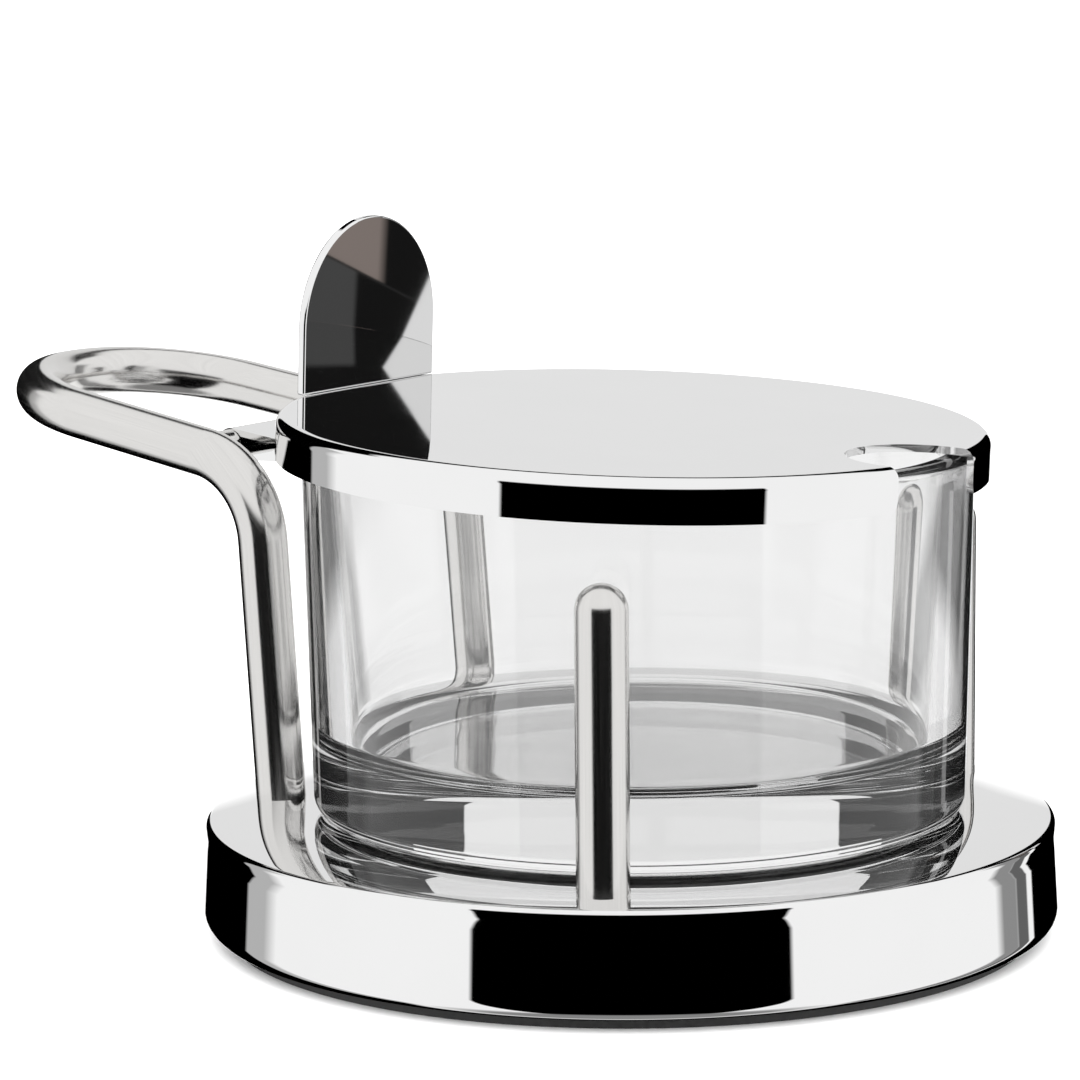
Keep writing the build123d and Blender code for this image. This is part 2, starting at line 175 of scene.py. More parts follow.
class StudioSettings(bpy.types.PropertyGroup):
    floor: colour("Floor", "Pale floor", (0.95, 0.95, 0.95))
    floor_size: length("Floor size", "Side of the floor", 14000.0)
    brightness: FloatProperty(
        name="Brightness", description="Light that falls on matt surfaces", default=2.3
    )
    panel_distance: length("Panel distance", "Middle of the object to the lit panel behind it", 200.0)
    panel_width: length("Panel width", "Width of the lit panel", 186.0)
    panel_bottom: length("Panel bottom", "Height of the panel's lower edge", -80.0)
    panel_top: length("Panel top", "Height of the panel's upper edge", 180.0)
    card_place: FloatVectorProperty(
        name="Card place",
        description="Middle of the card that the thumb tab mirrors",
        default=(80.8 * MM, 160.4 * MM, 80.0 * MM),
        subtype="TRANSLATION",
        size=3,
    )
    card_turn: FloatProperty(
        name="Card turn",
        description="Turn of that card",
        default=math.radians(143.3),
        subtype="ANGLE",
    )
    card_width: length("Card width", "Width of that card", 50.0)
    card_height: length("Card height", "Height of that card", 90.0)
    lens: FloatProperty(
        name="Lens", description="Focal length in millimetres on a 36 mm wide frame", default=150.2
    )
    distance: length("Distance", "Camera to what it looks at", 550.0)
    azimuth: FloatProperty(
        name="Azimuth",
        description="Turn of the camera about the object",
        default=math.radians(35.0),
        subtype="ANGLE",
    )
    elevation: FloatProperty(
        name="Elevation",
        description="Height of the camera over the object",
        default=math.radians(9.01),
        subtype="ANGLE",
    )
    roll: FloatProperty(
        name="Roll",
        description="Roll of the camera",
        default=math.radians(-0.5),
        subtype="ANGLE",
    )
    target: FloatVectorProperty(
        name="Target",
        description="Point that the camera looks at",
        default=(-8.83 * MM, -6.18 * MM, 48.08 * MM),
        subtype="TRANSLATION",
        size=3,
    )


SETTINGS = {
    "server_base": BaseSizes,
    "server_rods": RodSizes,
    "server_bowl": BowlSizes,
    "server_lid": LidSizes,
    "server_hinge": HingeSizes,
    "server_finish": Finishes,
    "server_studio": StudioSettings,
}


def setting(group):
    """The scene's settings of one group."""
    return getattr(bpy.context.scene, "server_" + group)


def clear_selection():
    """Deselect everything and leave no object active."""
    bpy.ops.object.select_all(action="DESELECT")
    bpy.context.view_layer.objects.active = None


def begin(piece):
    """Open one piece in edit mode with all of it selected."""
    clear_selection()
    piece.select_set(True)
    bpy.context.view_layer.objects.active = piece
    bpy.ops.object.mode_set(mode="EDIT")
    bpy.ops.mesh.select_all(action="SELECT")


def added(name):
    """The primitive that was just added, named, with its place taken into its mesh."""
    piece = bpy.context.active_object
    piece.name = name
    piece.data.name = name
    bpy.ops.object.transform_apply(location=True, rotation=True, scale=True)
    return piece


def pick(kind, test):
    """In edit mode, select only the corners, edges or faces whose corners all pass the test."""
    bpy.ops.mesh.select_mode(type=kind)
    bpy.ops.mesh.select_all(action="DESELECT")
    mesh = bmesh.from_edit_mesh(bpy.context.edit_object.data)
    items = {"VERT": mesh.verts, "EDGE": mesh.edges, "FACE": mesh.faces}[kind]
    for item in items:
        corners = [item.co] if kind == "VERT" else [corner.co for corner in item.verts]
        item.select_set(all(test(corner) for corner in corners))
    mesh.select_flush_mode()
    bmesh.update_edit_mesh(bpy.context.edit_object.data)


def close_up(piece, sharp=30.0):
    """Merge doubles, face everything outwards, leave edit mode and smooth what isn't an edge."""
    bpy.ops.mesh.select_all(action="SELECT")
    bpy.ops.mesh.remove_doubles(threshold=SAME_PLACE)
    bpy.ops.mesh.normals_make_consistent(inside=False)
    bpy.ops.object.mode_set(mode="OBJECT")
    bpy.ops.object.shade_smooth_by_angle(angle=math.radians(sharp))
    return piece


def hold_flats(piece):
    """Let the broad faces set the shading, so that flat steel mirrors flat."""
    clear_selection()
    piece.select_set(True)
    bpy.context.view_layer.objects.active = piece
    weighted = piece.modifiers.new("broad faces", "WEIGHTED_NORMAL")
    weighted.keep_sharp = True
    bpy.ops.object.modifier_apply(modifier=weighted.name)
    return piece


def first_ring(radius, height):
    """The outline's first point: a small ring inside the first face."""
    return (radius / 2, height, 0)


def turned_piece(name, outline, sides=256, centre_x=0.0):
    """A piece turned about an upright axis, from the middle of its first face round to the axis again.

    Each point of the outline is (radius, height, rounding).
    """
    radius, height = outline[0][:2]
    clear_selection()
    bpy.ops.mesh.primitive_circle_add(
        vertices=sides, radius=radius, fill_type="TRIFAN", location=(0, 0, height)
    )
    piece = added(name)
    begin(piece)
    bpy.ops.mesh.select_mode(type="EDGE")
    bpy.ops.mesh.region_to_loop()
    for next_radius, next_height, _ in outline[1:]:
        climb = (0, 0, next_height - height)
        bpy.ops.mesh.extrude_region_move(TRANSFORM_OT_translate={"value": climb})
        if next_radius == 0:
            bpy.ops.mesh.merge(type="CENTER")
            break
        change = next_radius / radius
        bpy.ops.transform.resize(value=(change, change, 1), center_override=(0, 0, next_height))
        radius, height = next_radius, next_height
    round_rings(outline)
    if centre_x:
        bpy.ops.mesh.select_all(action="SELECT")
        bpy.ops.transform.translate(value=(centre_x, 0, 0))
    return close_up(piece)


def round_rings(outline, steps=8):
    """Bevel each ring of the outline that has a rounding, to that radius."""
    for before, here, after in zip(outline, outline[1:], outline[2:]):
        if not here[2]:
            continue
        arriving = Vector(here[:2]) - Vector(before[:2])
        leaving = Vector(after[:2]) - Vector(here[:2])
        turn = arriving.angle(leaving)

        def on_ring(corner, ring=here):
            off_radius = abs(math.hypot(corner.x, corner.y) - ring[0])
            return off_radius < SAME_PLACE and abs(corner.z - ring[1]) < SAME_PLACE

        pick("EDGE", on_ring)
        bpy.ops.mesh.bevel(
            offset=here[2] * math.tan(turn / 2), segments=steps, affect="EDGES", clamp_overlap=False
        )


def arc_points(start, end, steps):
    """Points of the arc that leaves start level and falls to end, both (radius, height)."""
    span = end[0] - start[0]
    drop = start[1] - end[1]
    bend = (span**2 + drop**2) / (2 * drop)
    points = []
    for step in range(1, steps + 1):
        reach = span * step / steps
        points.append((start[0] + reach, start[1] - bend + math.sqrt(bend**2 - reach**2), 0))
    return points


def surface(name):
    """A new node material and its principled shader, links and nodes."""
    material = bpy.data.materials.new(name)
    material.use_nodes = True
    nodes = material.node_tree.nodes
    links = material.node_tree.links
    return material, nodes, links, nodes["Principled BSDF"]


def place_noise(nodes, links, scale, stretch=(1, 1, 1), detail=3.0):
    """Noise on the object's own coordinates, stretched along the piece."""
    coordinates = nodes.new("ShaderNodeTexCoord")
    mapping = nodes.new("ShaderNodeMapping")
    mapping.inputs["Scale"].default_value = stretch
    noise = nodes.new("ShaderNodeTexNoise")
    noise.inputs["Scale"].default_value = scale
    noise.inputs["Detail"].default_value = detail
    links.new(coordinates.outputs["Object"], mapping.inputs["Vector"])
    links.new(mapping.outputs["Vector"], noise.inputs["Vector"])
    return noise


def spread(nodes, links, source, low, high):
    """Map a noise value to a narrow range."""
    remap = nodes.new("ShaderNodeMapRange")
    remap.inputs["From Min"].default_value = 0.3
    remap.inputs["From Max"].default_value = 0.7
    remap.inputs["To Min"].default_value = low
    remap.inputs["To Max"].default_value = high
    links.new(source, remap.inputs["Value"])
    return remap.outputs["Result"]


def tint(nodes, links, source, dark, light):
    """Blend between two near colours by a noise value."""
    ramp = nodes.new("ShaderNodeValToRGB")
    ramp.color_ramp.elements[0].position = 0.35
    ramp.color_ramp.elements[1].position = 0.65
    ramp.color_ramp.elements[0].color = (*dark, 1)
    ramp.color_ramp.elements[1].color = (*light, 1)
    links.new(source, ramp.inputs["Fac"])
    return ramp.outputs["Color"]


def raise_grain(nodes, links, shader, source, strength, depth):
    """Raise the surface a little where a noise value is high."""
    bump = nodes.new("ShaderNodeBump")
    bump.inputs["Strength"].default_value = strength
    bump.inputs["Distance"].default_value = depth
    links.new(source, bump.inputs["Height"])
    links.new(bump.outputs["Normal"], shader.inputs["Normal"])


def shade(base, share):
    """A colour a little darker or lighter than the base."""
    return tuple(min(1.0, value * share) for value in base)


def mirror_steel():
    """Sheet steel polished to a mirror, with faint polishing haze."""
    if "polished_sheet" in bpy.data.materials:
        return bpy.data.materials["polished_sheet"]
    base = setting("finish").mirror
    material, nodes, links, shader = surface("polished_sheet")
    shader.inputs["Metallic"].default_value = 1.0
    haze = place_noise(nodes, links, scale=60.0).outputs["Fac"]
    links.new(tint(nodes, links, haze, shade(base, 0.985), base), shader.inputs["Base Color"])
    links.new(spread(nodes, links, haze, 0.012, 0.03), shader.inputs["Roughness"])
    ripple = place_noise(nodes, links, scale=45.0, detail=1.0).outputs["Fac"]
    raise_grain(nodes, links, shader, ripple, strength=0.05, depth=0.02 * MM)
    return material


def rod_steel():
    """Polished round rod with fine scratches along it."""
    if "polished_rod" in bpy.data.materials:
        return bpy.data.materials["polished_rod"]
    base = setting("finish").rod
    material, nodes, links, shader = surface("polished_rod")
    shader.inputs["Metallic"].default_value = 1.0
    grain = nodes.new("ShaderNodeAttribute")
    grain.attribute_name = "rod_grain"
    noise = nodes.new("ShaderNodeTexNoise")
    noise.inputs["Scale"].default_value = 1.0
    noise.inputs["Detail"].default_value = 6.0
    links.new(grain.outputs["Vector"], noise.inputs["Vector"])
    scratches = noise.outputs["Fac"]
    links.new(tint(nodes, links, scratches, shade(base, 0.94), base), shader.inputs["Base Color"])
    links.new(spread(nodes, links, scratches, 0.12, 0.22), shader.inputs["Roughness"])
    raise_grain(nodes, links, shader, scratches, strength=0.02, depth=0.01 * MM)
    return material


def plain_steel():
    """Plain zinc-plated steel of the inner pieces."""
    if "plated_steel" in bpy.data.materials:
        return bpy.data.materials["plated_steel"]
    base = setting("finish").plain
    material, nodes, links, shader = surface("plated_steel")
    shader.inputs["Metallic"].default_value = 1.0
    grain = place_noise(nodes, links, scale=900.0).outputs["Fac"]
    links.new(tint(nodes, links, grain, shade(base, 0.85), base), shader.inputs["Base Color"])
    links.new(spread(nodes, links, grain, 0.28, 0.42), shader.inputs["Roughness"])
    return material


def black_rubber():
    """Matt pad under the base."""
    if "pad_rubber" in bpy.data.materials:
        return bpy.data.materials["pad_rubber"]
    base = setting("finish").rubber
    material, nodes, links, shader = surface("pad_rubber")
    grain = place_noise(nodes, links, scale=1500.0).outputs["Fac"]
    links.new(tint(nodes, links, grain, base, shade(base, 1.6)), shader.inputs["Base Color"])
    links.new(spread(nodes, links, grain, 0.6, 0.8), shader.inputs["Roughness"])
    raise_grain(nodes, links, shader, grain, strength=0.3, depth=0.05 * MM)
    return material


def clear_glass():
    """Pressed clear glass with the faint waves of its mould."""
    if "pressed_glass" in bpy.data.materials:
        return bpy.data.materials["pressed_glass"]
    base = setting("finish").glass
    material, nodes, links, shader = surface("pressed_glass")
    shader.inputs["Transmission Weight"].default_value = 0.985
    shader.inputs["IOR"].default_value = 1.5
    shader.inputs["Roughness"].default_value = 0.0
    waves = place_noise(nodes, links, scale=70.0, stretch=(1, 1, 0.35), detail=1.0).outputs["Fac"]
    links.new(tint(nodes, links, waves, shade(base, 0.995), base), shader.inputs["Base Color"])
    raise_grain(nodes, links, shader, waves, strength=0.4, depth=0.1 * MM)
    return material


def dress(piece, material, slot, body, *nodes):
    """Give a finished piece its finish and its body, and hide the nodes that it stands for."""
    piece.data.materials.clear()
    piece.data.materials.append(material)
    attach(piece, body)
    if nodes:
        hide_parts(*nodes)


def add_rod_grain(piece, axis_point):
    """Store, on each corner of a rod, its place round the rod and along it, for the scratches.

    axis_point gives the nearest point of the rod's centre line and the distance along it.
    """
    grain = piece.data.attributes.new("rod_grain", "FLOAT_VECTOR", "POINT")
    for corner, value in zip(piece.data.vertices, grain.data):
        centre, along = axis_point(corner.co)
        off = (corner.co - centre).normalized()
        value.vector = (off.x * GRAIN_ROUND, (off.y + off.z) * GRAIN_ROUND, along * GRAIN_ALONG)


class SERVER_OT_base(bpy.types.Operator):
    """Turn the drawn steel base."""

    bl_idname = "server.base"
    bl_label = "Base"

    def execute(self, context):
        size = setting("base")
        rim_height = size.height - size.rim_drop
        fall = arc_points((size.flat_radius, size.height), (size.rim_radius, rim_height), 24)
        end_slope = 2 * size.rim_drop / (size.rim_radius - size.flat_radius)
        curl_start = size.skirt_radius - size.curl_radius
        lip_top = size.skirt_gap + size.sheet
        inner_top = size.height - size.sheet
        edge = size.bead_radius - size.rim_radius
        skirt_height = size.neck_height - size.skirt_gap - size.curl_radius
        flare = (size.skirt_radius - size.neck_radius) / skirt_height
        foot_radius = size.skirt_radius + flare * size.curl_radius
        outline = [
            first_ring(size.flat_radius, size.height),
            (size.flat_radius, size.height, 0),
            *fall[:-1],
            (size.bead_radius, rim_height - end_slope * edge, edge),
            (size.bead_radius, size.bead_bottom, size.bead_rounding),
            (size.neck_radius, size.neck_height, size.neck_rounding),
            (foot_radius, size.skirt_gap, size.curl_radius),
            (size.lip_radius, size.skirt_gap, 0),
            (size.lip_radius, lip_top, 0),
            (curl_start, lip_top, 0),
            (size.skirt_radius - size.sheet, lip_top + size.sheet, 0),
            (size.neck_radius - size.sheet, size.neck_height, 0),
            (size.rim_radius - size.sheet, inner_top - size.rim_drop, 0),
            (size.flat_radius, inner_top, 0),
            (0, inner_top, 0),
        ]
        piece = hold_flats(turned_piece("base", outline))
        dress(piece, mirror_steel(), "mirror_steel", "base", "base_shell")
        return {"FINISHED"}


class SERVER_OT_posts(bpy.types.Operator):
    """Turn one domed post and stand a copy on each side."""

    bl_idname = "server.posts"
    bl_label = "Posts"

    def execute(self, context):
        rod = setting("rods")
        foot = setting("base").height - rod.foot_depth
        dome = rod.radius * rod.dome_share
        outline = [
            first_ring(rod.radius, foot),
            (rod.radius, foot, 0),
            (rod.radius, rod.post_top, dome),
            (0, rod.post_top, 0),
        ]
        first = turned_piece("post_rod_left", outline, sides=96)
        second = first.copy()
        second.data = first.data.copy()
        second.name = "post_rod_right"
        context.scene.collection.objects.link(second)
        reach = rod.post_circle * math.cos(rod.post_turn)
        side = rod.post_circle * math.sin(rod.post_turn)
        for piece, y, node in ((first, -side, "post_left"), (second, side, "post_right")):
            begin(piece)
            bpy.ops.transform.translate(value=(reach, y, 0))
            bpy.ops.object.mode_set(mode="OBJECT")
            add_rod_grain(piece, lambda corner, y=y: (Vector((reach, y, corner.z)), corner.z))
            dress(piece, rod_steel(), "rod_steel", "base", node)
        return {"FINISHED"}


def bent_rod(name, points, bend_radii, radius, sides=96, steps=24):
    """A round rod run along straight lines and spun round each bend between them.

    Returns the piece and the centre line's points, for what follows the rod.
    """
    way = (points[1] - points[0]).normalized()
    clear_selection()
    bpy.ops.mesh.primitive_circle_add(
        vertices=sides,
        radius=radius,
        fill_type="NOTHING",
        location=points[0],
        rotation=way.to_track_quat("Z", "Y").to_euler(),
    )
    piece = added(name)
    begin(piece)
    bpy.ops.mesh.select_mode(type="EDGE")
    here = points[0]
    line = [here]
    for before, corner, after, bend in zip(points, points[1:], points[2:], bend_radii):
        arriving = (corner - before).normalized()
        leaving = (after - corner).normalized()
        turn = arriving.angle(leaving)
        start = corner - arriving * bend * math.tan(turn / 2)
        end = corner + leaving * bend * math.tan(turn / 2)
        axis = arriving.cross(leaving).normalized()
        middle = start + axis.cross(arriving) * bend
        bpy.ops.mesh.extrude_region_move(TRANSFORM_OT_translate={"value": start - here})
        bpy.ops.mesh.spin(steps=steps, angle=-turn, center=middle, axis=axis)
        line += [start, end]
        here = end
    bpy.ops.mesh.extrude_region_move(TRANSFORM_OT_translate={"value": points[-1] - here})
    line.append(points[-1])
    bpy.ops.mesh.edge_face_add()
    first = points[0]
    pick("EDGE", lambda corner: abs((corner - first).dot(way)) < SAME_PLACE)
    bpy.ops.mesh.edge_face_add()
    return close_up(piece), line


class SERVER_OT_handle(bpy.types.Operator):
    """Bend the handle from one rod."""

    bl_idname = "server.handle"
    bl_label = "Handle"

    def execute(self, context):
        rod = setting("rods")
        half_gap = rod.leg_spacing / 2
        half_tip = rod.tip_spacing / 2
        top = rod.corner_height
        foot = setting("base").height - rod.foot_depth
        base_height = setting("base").height
        lean = (rod.leg_corner_reach - rod.leg_foot_reach) / (top - base_height)
        half = [
            Vector((-rod.leg_foot_reach + lean * rod.foot_depth, -half_gap, foot)),
            Vector((-rod.leg_corner_reach, -half_gap, top)),
            Vector((-rod.loop_reach, -half_tip, top + rod.loop_rise)),
        ]
        points = half + [Vector((p.x, -p.y, p.z)) for p in reversed(half)]
        tip_turn = (points[2] - points[1]).angle(points[3] - points[2])
        tip_radius = rod.tip_roundness * half_tip / math.tan(tip_turn / 2)
        bends = [rod.corner_radius, tip_radius, tip_radius, rod.corner_radius]
        piece, line = bent_rod("handle_rod", points, bends, rod.radius)

        def nearest(corner):
            """Nearest point of the straight lines between the bends, and the way along the rod to it."""
            best = None
            gone = 0.0
            for start, end in zip(line, line[1:]):
                run = end - start
                share = min(1.0, max(0.0, (corner - start).dot(run) / run.length_squared))
                point = start + run * share
                found = ((corner - point).length, point, gone + run.length * share)
                best = found if best is None or found[0] < best[0] else best
                gone += run.length
            return best[1], best[2]

        add_rod_grain(piece, nearest)
        dress(piece, rod_steel(), "rod_steel", "base", "handle_loop")
        return {"FINISHED"}


def crosswise(piece):
    """Lay a piece turned about the upright axis along Y, with its axis on the hinge pin."""
    hinge = setting("hinge")
    begin(piece)
    bpy.ops.transform.rotate(value=math.radians(90.0), orient_axis="X", center_override=(0, 0, 0))
    bpy.ops.transform.translate(value=(hinge.pin_x, 0, hinge.pin_z))
    bpy.ops.object.mode_set(mode="OBJECT")


class SERVER_OT_hinge(bpy.types.Operator):
    """Turn the hinge pin and its two sleeves."""

    bl_idname = "server.hinge"
    bl_label = "Hinge pin and sleeves"

    def execute(self, context):
        hinge = setting("hinge")
        near = hinge.sleeve_start
        far = hinge.sleeve_end
        pieces = (
            ("pin", hinge.pin_radius, -hinge.pin_reach, hinge.pin_reach, "hinge_pin"),
            ("sleeve_left", hinge.sleeve_radius, -far, -near, "hinge_sleeve_left"),
            ("sleeve_right", hinge.sleeve_radius, near, far, "hinge_sleeve_right"),
        )
        for name, radius, low, high, node in pieces:
            outline = [
                first_ring(radius, low),
                (radius, low, hinge.chamfer),
                (radius, high, hinge.chamfer),
                (0, high, 0),
            ]
            piece = turned_piece(name, outline, sides=64)
            crosswise(piece)
            height = hinge.pin_z
            x = hinge.pin_x
            add_rod_grain(piece, lambda corner: (Vector((x, corner.y, height)), corner.y))
            dress(piece, rod_steel(), "rod_steel", "base", node)
        return {"FINISHED"}


class SERVER_OT_bowl(bpy.types.Operator):
    """Turn the thick glass bowl."""

    bl_idname = "server.bowl"
    bl_label = "Glass bowl"

    def execute(self, context):
        size = setting("bowl")
        seat = setting("base").height
        floor = seat + size.floor
        outline = [
            first_ring(size.bottom_radius, seat + size.seat_gap),
            (size.bottom_radius, seat + size.seat_gap, size.foot_rounding),
            (size.top_radius, size.rim_height, size.rim_rounding),
            (size.top_radius - size.wall_top, size.rim_height, size.rim_rounding),
            (size.bottom_radius - size.wall_bottom, floor, size.inside_rounding),
            (0, floor, 0),
        ]
        piece = hold_flats(turned_piece("bowl", outline, centre_x=size.centre_x))
        dress(piece, clear_glass(), "clear_glass", "bowl", "glass_bowl")
        return {"FINISHED"}


def tip_with_lid(piece):
    """Tip a piece that was made level about the hinge pin, to where the closed lid leans."""
    hinge = setting("hinge")
    begin(piece)
    bpy.ops.transform.rotate(
        value=-setting("lid").tilt, orient_axis="Y", center_override=(hinge.pin_x, 0, hinge.pin_z)
    )
    bpy.ops.object.mode_set(mode="OBJECT")


class SERVER_OT_lid(bpy.types.Operator):
    """Turn the lid and cut its spoon notch."""

    bl_idname = "server.lid"
    bl_label = "Lid"

    def execute(self, context):
        size = setting("lid")
        low = size.top - size.skirt_depth
        inside = size.radius - size.sheet
        under = size.top - size.sheet
        outline = [
            first_ring(size.radius, size.top),
            (size.radius, size.top, size.edge_rounding),
            (size.radius, low, 0),
            (inside, low, 0),
            (inside, under, 0),
            (0, under, 0),
        ]
        piece = turned_piece("lid_pressing", outline, centre_x=size.centre_x)
        cutter = self.notch_cutter()
        clear_selection()
        piece.select_set(True)
        context.view_layer.objects.active = piece
        cut = piece.modifiers.new("notch", "BOOLEAN")
        cut.operation = "DIFFERENCE"
        cut.solver = "EXACT"
        cut.object = cutter
        bpy.ops.object.modifier_apply(modifier=cut.name)
        bpy.data.objects.remove(cutter)
        begin(piece)
        notch_half = size.notch_width / 2
        reach = size.centre_x + size.radius - size.notch_depth / 2

        def low_corner(corner):
            on_side = abs(abs(corner.y) - notch_half) < SAME_PLACE
            return on_side and corner.x > reach and abs(corner.z - low) < SAME_PLACE

        pick("EDGE", low_corner)
        bpy.ops.mesh.bevel(offset=size.notch_rounding, segments=6, affect="EDGES", clamp_overlap=False)
        close_up(piece)
        tip_with_lid(piece)
        hold_flats(piece)
        dress(piece, mirror_steel(), "mirror_steel", "lid", "lid")
        return {"FINISHED"}

    def notch_cutter(self):
        """A half-round bar that runs out past the lid's edge."""
        size = setting("lid")
        half = size.notch_width / 2
        centre = size.centre_x + size.radius - size.notch_depth + half
        clear_selection()
        bpy.ops.mesh.primitive_cylinder_add(
            vertices=128, radius=half, depth=size.skirt_depth * 3, location=(centre, 0, size.top)
        )
        cutter = added("notch_cutter")
        begin(cutter)
        bpy.ops.mesh.bisect(
            plane_co=(centre, 0, size.top), plane_no=(1, 0, 0), use_fill=True, clear_outer=True
        )
        pick("FACE", lambda corner: abs(corner.x - centre) < SAME_PLACE)
        bpy.ops.mesh.extrude_region_move(TRANSFORM_OT_translate={"value": (size.notch_width, 0, 0)})
        bpy.ops.mesh.select_all(action="SELECT")
        bpy.ops.mesh.normals_make_consistent(inside=False)
        bpy.ops.object.mode_set(mode="OBJECT")
        return cutter


class SERVER_OT_tab(bpy.types.Operator):
    """Shape the upright thumb tab."""

    bl_idname = "server.tab"
    bl_label = "Thumb tab"

    def execute(self, context):
        size = setting("lid")
        half = size.tab_width / 2
        shoulder = size.top + size.tab_height - half
        middle = size.tab_face_x - size.tab_thickness / 2
        clear_selection()
        bpy.ops.mesh.primitive_cylinder_add(
            vertices=160,
            radius=half,
            depth=size.tab_thickness,
            location=(middle, 0, shoulder),
            rotation=(0, math.radians(90.0), 0),
        )
        piece = added("tab")
        begin(piece)
        bpy.ops.mesh.bisect(
            plane_co=(middle, 0, shoulder), plane_no=(0, 0, 1), use_fill=True, clear_inner=True
        )
        pick("FACE", lambda corner: abs(corner.z - shoulder) < SAME_PLACE)
        bpy.ops.mesh.extrude_region_move(TRANSFORM_OT_translate={"value": (0, 0, size.top - shoulder)})
        close_up(piece)
        rounding = piece.modifiers.new("soft edges", "BEVEL")
        rounding.width = size.tab_rounding
        rounding.segments = 4
        rounding.limit_method = "ANGLE"
        rounding.angle_limit = math.radians(60.0)
        bpy.ops.object.modifier_apply(modifier=rounding.name)
        tip_with_lid(piece)
        hold_flats(piece)
        dress(piece, mirror_steel(), "mirror_steel", "lid", "thumb_tab")
        return {"FINISHED"}


class SERVER_OT_inner(bpy.types.Operator):
    """Finish the strap, the pad and the steel inside the base."""

    bl_idname = "server.inner"
    bl_label = "Strap, pad and inner steel"

    def execute(self, context):
        finishes = {
            "mirror_steel": mirror_steel(),
            "rod_steel": rod_steel(),
            "plain_steel": plain_steel(),
            "black_rubber": black_rubber(),
        }
        for part in frame["record"]["subparts"]:
            node = frame["nodes"][part["node"]]
            material = finishes.get(part["material_slot"])
            if node.hide_render or material is None:
                continue
            for slot in node.material_slots:
                slot.material = material
        return {"FINISHED"}


def number(nodes, links, operation, *inputs):
    """A maths node fed with sockets or plain numbers."""
    node = nodes.new("ShaderNodeMath")
    node.operation = operation
    for socket, value in zip(node.inputs, inputs):
        if isinstance(value, (int, float)):
            socket.default_value = value
        else:
            links.new(value, socket)
    return node.outputs[0]


def along(nodes, links, vector, axis):
    """How far a vector reaches along an axis."""
    dot = nodes.new("ShaderNodeVectorMath")
    dot.operation = "DOT_PRODUCT"
    dot.inputs[1].default_value = axis
    links.new(vector, dot.inputs[0])
    return dot.outputs["Value"]


def band(nodes, links, value, low, high, soft):
    """1 where the value lies between low and high, 0 outside, with a soft change at both ends."""
    shares = []
    for place, inside, outside in ((low, 1, -1), (high, -1, 1)):
        edge = nodes.new("ShaderNodeMapRange")
        edge.inputs["From Min"].default_value = place + outside * soft / 2
        edge.inputs["From Max"].default_value = place + inside * soft / 2
        links.new(value, edge.inputs["Value"])
        shares.append(edge.outputs["Result"])
    return number(nodes, links, "MULTIPLY", *shares)


def paint(nodes, links, under, share, over):
    """Lay a colour over another where the share is 1; each is a socket or a plain colour."""
    mix = nodes.new("ShaderNodeMix")
    mix.data_type = "RGBA"
    links.new(share, mix.inputs["Factor"])
    for name, value in (("A", under), ("B", over)):
        if isinstance(value, tuple):
            mix.inputs[name].default_value = (*value, 1)
        else:
            links.new(value, mix.inputs[name])
    return mix.outputs["Result"]


def grey(value):
    """A neutral colour."""
    return (value, value, value)


# What the steel sees round the object, each card laid over the ones before it:
# name, turn from the camera's side to the right in degrees (from, to, softness),
# height over the horizon in degrees (from, to, softness), grey
STEEL_CARDS = (
    ("table", (-189, 189, 1), (-99, -66, 10), 0.25),
    ("side light's edge on the left", (-127, -112, 6), (-60, 25, 4), 0.48),
    ("side light's edge on the right", (114, 125, 4), (-60, 25, 4), 0.28),
    ("side light's rim on the right", (124, 130.7, 1), (-60, 25, 4), 0.13),
    ("front card", (-43.2, 41.2, 1.2), (-70, 13, 7), 0.0),
    ("rear card on the left", (-189, -124.5, 1.5), (-60, 46, 3), 0.0),
    ("rear card on the right", (134.5, 189, 1), (-60, 46, 3), 0.0),
)

# What shows through the glass, in the same way
GLASS_CARDS = (
    ("table", (-189, 189, 1), (-99, -45, 8), 0.75),
    ("table's strip on the left", (-162, -70, 4), (-15.2, -13.1, 0.8), 0.25),
    ("table's strip on the right", (70, 162, 4), (-15.2, -13.1, 0.8), 0.2),
    ("low side on the left", (-79, -58, 5), (-14, -4, 3), 0.35),
    ("low side on the right", (58, 79, 5), (-14, -4, 3), 0.35),
    ("front strip", (-50, 50, 3), (-11.5, -6, 2), 0.2),
    ("side card on the left", (-121, -96, 2), (3, 17, 3), 0.01),
    ("side card on the right", (82, 121, 2), (3, 17, 3), 0.01),
    ("near card on the left", (-93, -45, 2), (3, 14, 3), 0.25),
    ("near card on the right", (45, 79, 2), (3, 14, 3), 0.25),
    ("far card on the left", (-189, -120, 1), (3, 45, 3), 0.02),
    ("far card on the right", (120, 189, 1), (3, 45, 3), 0.02),
)


# A band's end that lies past everything on a card
FAR = 999

# The lit panel behind the object, for the steel and for the glass: name, grey below, grey above,
# whether it shows through glass
BACK_LIGHTS = (
    ("back_light_for_steel", 1.08, 0.8, False),
    ("back_light_for_glass", 0.93, 0.8, True),
)

# Millimetres over the table where the panel's grey changes, and where the glass's panel is narrow:
# from, to, softness
PANEL_UPPER = (48, FAR, 8)
PANEL_WAIST = (45, 80, 2)

# What is dark beside the waist, in millimetres to the right of the panel's middle in the same way,
# and its grey
WAIST_SIDES = ((-FAR, -62.6, 1), (62, FAR, 1))
WAIST_GREY = 0.02

# Heights on the tab's card, in millimetres over the table
CARD_CHANGE = 65
CARD_GREY_TOP = 86
WEDGE_HEIGHT = 86.5

# How far each slanting edge on the card moves aside, or up, for a millimetre of the other
WEDGE_SLANT = 0.6
SLIVER_SLANT = 0.38
BROWN_SLANT = 0.45

# Where the brown patch's slanting lower edge meets the card's middle line
BROWN_EDGE = 48.3

